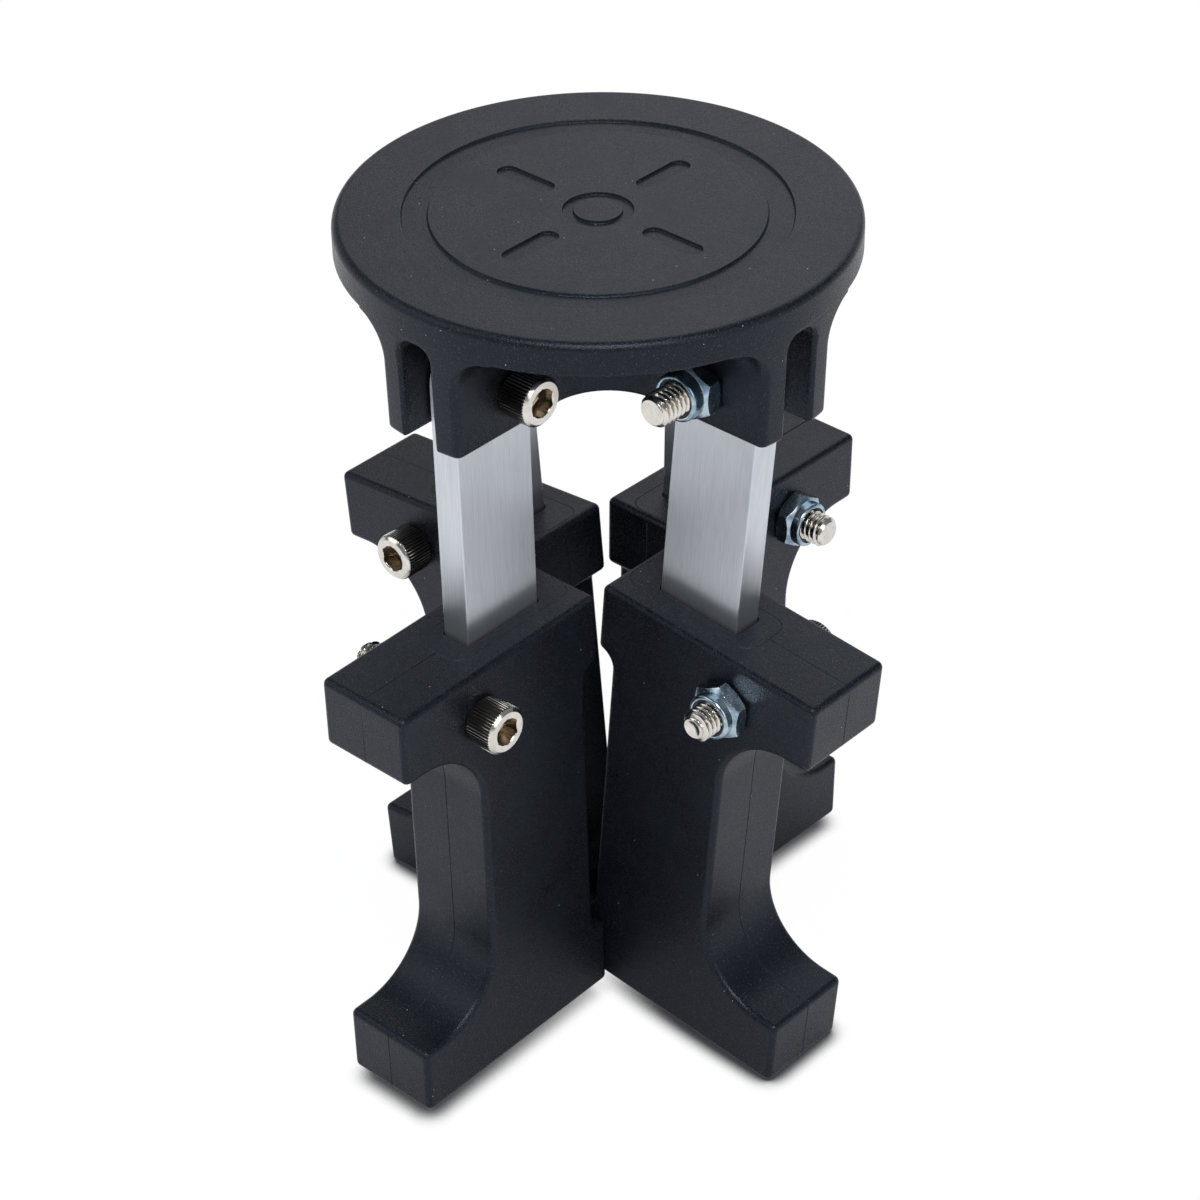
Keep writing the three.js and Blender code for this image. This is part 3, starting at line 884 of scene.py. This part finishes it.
def bright_zinc():
    """Blue-white zinc plate: soft patches of blue and straw tint, fine grain, small nicks, edges
    painted pale as a highlight.
    """
    material, sheet = new_sheet("bright_zinc")
    spot = sheet.place()
    grain = sheet.noise(spot, 5, 2, 0.6)
    tint = sheet.noise(spot, 0.35, 2, 0.5)
    nicks = sheet.noise(sheet.stretched(spot, 1.0, 1.0, 1.6), 0.9, 1, 0.5).step(0.66, 0.76)
    tone = sheet.mix(tint.step(0.35, 0.65), (0.2, 0.31, 0.4), (0.48, 0.58, 0.65))
    sheet.surface(
        # Painted highlight: edges paler.
        Base_Color=sheet.mix(sheet.edges(0.35) * 0.85, tone, (0.86, 0.9, 0.92)),
        Metallic=1.0,
        Roughness=0.19 + grain * 0.08 + nicks * 0.15,
        Normal=sheet.bump(grain * 0.3 + nicks, 0.012),
    )
    return material


def dark_nylon():
    """Dark nylon with a faint cloudy tone and soft grain."""
    material, sheet = new_sheet("dark_nylon")
    spot = sheet.place()
    clouds = sheet.noise(spot, 0.8, 3, 0.5)
    sheet.surface(
        Base_Color=sheet.mix(clouds.step(0.3, 0.7), (0.018, 0.024, 0.034), (0.035, 0.043, 0.056)),
        Roughness=0.38 + clouds * 0.15,
        Normal=sheet.bump(sheet.noise(spot, 4, 2, 0.6), 0.02),
    )
    return material


# The riser

plastic = black_plastic()
aluminium = brushed_aluminium()
nickel = bright_nickel()
zinc = bright_zinc()
nylon = dark_nylon()


def arm_place(number, lean, outward, along, side=0.0):
    """Matrix that leans an arm about its pivot and turns it to its place round the hub:
    Rz(angle) Ry(lean), with a point (outward, side, along) in the arm's own frame."""
    angle = math.radians(90 * (number - 1))
    c, s = math.cos(angle), math.sin(angle)
    cl, sl = math.cos(lean), math.sin(lean)
    turned = np.array([[c, -s, 0], [s, c, 0], [0, 0, 1]])
    turned = turned @ np.array([[cl, 0, sl], [0, 1, 0], [-sl, 0, cl]])
    place = np.eye(4)
    place[:3, :3] = turned
    pivot = np.array([PIVOT_RADIUS * c, PIVOT_RADIUS * s, PIVOT_HEIGHT])
    place[:3, 3] = pivot + turned @ np.array([outward, side, along])
    return place


finished("hub_moulding", [hub()], np.eye(4), "hub", "hub", plastic)
foot_surface = foot()
head_surface = screw_head()
shank_surface = screw_shank(False)
cupped_shank_surface = screw_shank(True)
nuts = {"pivot": nut(*PIVOT_NUT), "clamp": nut(*CLAMP_NUT)}
inserts = {"pivot": insert(PIVOT_NUT[1]), "clamp": insert(CLAMP_NUT[1])}
for number in (1, 2, 3, 4):
    slide = joints[f"foot_{number}_slide"]["axis"]
    lean = math.atan2(math.hypot(slide[0], slide[1]), slide[2])
    lowest = 1000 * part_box(f"foot_{number}")[0][2]
    leg = (PIVOT_HEIGHT - lowest - FOOT_OUTWARD * math.sin(lean)) / math.cos(lean)
    foot_top = FOOT_HEIGHT - leg
    place = arm_place(number, lean, 0, 0)
    finished(f"bar_strip_{number}", [bar(BAR_IN_FOOT - foot_top)], place, f"arm_{number}",
             f"bar_{number}", aluminium)
    finished(f"foot_moulding_{number}", [foot_surface], arm_place(number, lean, 0, -leg),
             f"foot_{number}", f"foot_{number}", plastic)
    clamp_at = (CLAMP_OUTWARD, CLAMP_HEIGHT - leg)
    fasteners = (
        ("pivot", "hub", 0, (0, 0), EAR_HALF_WIDTH + SEAT_GAP),
        ("clamp", f"foot_{number}", lean, clamp_at, FOOT_WIDTH / 2 + SEAT_GAP),
    )
    for kind, body, tilt, (outward, along), half_grip in fasteners:
        head_place = arm_place(number, tilt, outward, along, half_grip)
        nut_place = arm_place(number, tilt, outward, along, -half_grip)
        cupped = kind == "clamp" and number != 2
        screw = [head_surface, cupped_shank_surface if cupped else shank_surface]
        finished(f"{kind}_screw_knurled_{number}", screw, head_place, body,
                 f"{kind}_screw_{number}", nickel, 25)
        finished(f"{kind}_nut_hex_{number}", [nuts[kind]], nut_place, body,
                 f"{kind}_nut_{number}", zinc, 25)
        finished(f"{kind}_nylon_ring_{number}", [inserts[kind]], nut_place, body,
                 f"{kind}_nut_insert_{number}", nylon)


# Floor, light and camera

def ray_kinds(sheet):
    """1 for camera rays, and 1 for glossy and transmission rays."""
    seen, glossy, passing = [
        sheet.node("ShaderNodeLightPath", output=name)
        for name in ("Is Camera Ray", "Is Glossy Ray", "Is Transmission Ray")
    ]
    return seen, sheet.maths("MAXIMUM", glossy, passing)


def white_floor():
    """Matt white floor. Camera rays find it white but for the dark line of shade where the
    object meets it. Reflections find a good part of white, which fades close to the object
    and between its feet, so that they keep its soft shadow."""
    material, sheet = new_sheet("white_floor")
    seen, reflected = ray_kinds(sheet)
    open_ = sheet.node("ShaderNodeAmbientOcclusion", {"samples": 16}, {"Distance": 0.0056}, "AO")
    wide = sheet.node("ShaderNodeAmbientOcclusion", {"samples": 6}, {"Distance": 0.09}, "AO")
    shade = ((open_ - 0.44) * 1.85).step(0, 1)
    shade = sheet.maths("MAXIMUM", shade * seen, wide ** 2.5 * reflected)
    matt = sheet.node("ShaderNodeBsdfDiffuse", inputs={"Color": (0.86, 0.885, 0.93, 1)})
    white = sheet.node("ShaderNodeEmission", inputs={
        "Color": sheet.mix(shade, (0.04, 0.04, 0.045), (1.0, 1.0, 1.0)), "Strength": 1.01,
    })
    both = sheet.node("ShaderNodeMixShader", inputs={
        0: seen * 0.97 + reflected * 0.5, 1: matt, 2: white,
    })
    sheet.node("ShaderNodeOutputMaterial", inputs={"Surface": both})
    mesh = bpy.data.meshes.new("floor")
    mesh.from_pydata([(-4, -4, 0), (4, -4, 0), (4, 4, 0), (-4, 4, 0)], [], [(0, 1, 2, 3)])
    mesh.materials.append(material)
    floor = bpy.data.objects.new("floor", mesh)
    bpy.context.scene.collection.objects.link(floor)


def room():
    """Even dim surroundings, white where the camera sees them, and near the horizon also
    where reflections see them."""
    world = bpy.data.worlds.new("room")
    bpy.context.scene.world = world
    world.use_nodes = True
    sheet = Sheet(world.node_tree)
    seen, reflected = ray_kinds(sheet)
    height = sheet.parts(sheet.node("ShaderNodeTexCoord", output="Generated"))[2]
    low = 1 - height.step(0.0, 0.16)
    soft = sheet.node("ShaderNodeBackground", inputs={
        "Color": (0.85, 0.93, 1, 1), "Strength": 0.22,
    })
    white = sheet.node("ShaderNodeBackground", inputs={"Color": (1, 1, 1, 1), "Strength": 1.0})
    both = sheet.node("ShaderNodeMixShader", inputs={
        0: seen + reflected * low * 0.8, 1: soft, 2: white,
    })
    sheet.node("ShaderNodeOutputWorld", inputs={"Surface": both})


def aim(position, target, roll=0.0):
    """World matrix of something at position that looks down its -Z at target, turned by roll
    degrees: right' = right cos r + up sin r and up' = -right sin r + up cos r."""
    position, target = np.array(position), np.array(target)
    forward = (target - position) / np.linalg.norm(target - position)
    right = np.cross(forward, (0, 0, 1))
    right /= np.linalg.norm(right)
    up = np.cross(right, forward)
    r = math.radians(roll)
    right, up = right * math.cos(r) + up * math.sin(r), -right * math.sin(r) + up * math.cos(r)
    placed = np.eye(4)
    placed[:3, 0], placed[:3, 1], placed[:3, 2], placed[:3, 3] = right, up, -forward, position
    return Matrix(placed.tolist())


def soft_box(name, position, target, size, power):
    """A square area light."""
    light = bpy.data.lights.new(name, "AREA")
    light.size = size
    light.energy = power
    lamp = bpy.data.objects.new(name, light)
    lamp.matrix_world = aim(position, target)
    bpy.context.scene.collection.objects.link(lamp)


white_floor()
room()
soft_box("front_above", (0.735, -0.8, 1.656), (0, 0, 0.1), 0.65, 23)
soft_box("back_left", (-0.56, 1.05, 1.22), (0, 0, 0.15), 1.3, 6.1)
soft_box("right_side", (1.9, -0.2, 1.1), (0, 0, 0.1), 1.2, 8)
soft_box("front_left", (-0.95, -0.98, 1.14), (0, 0, 0.1), 1.2, 6)

camera_data = bpy.data.cameras.new("camera")
camera_data.sensor_width = SENSOR_WIDTH
camera_data.lens = SENSOR_WIDTH * FOCAL_LENGTH / FRAME_WIDTH
camera_data.clip_start = 0.05
camera = bpy.data.objects.new("camera", camera_data)
camera.matrix_world = aim(EYE, LOOKED_AT, CAMERA_ROLL)
bpy.context.scene.collection.objects.link(camera)
bpy.context.scene.camera = camera
bpy.context.scene.view_settings.view_transform = "Standard"
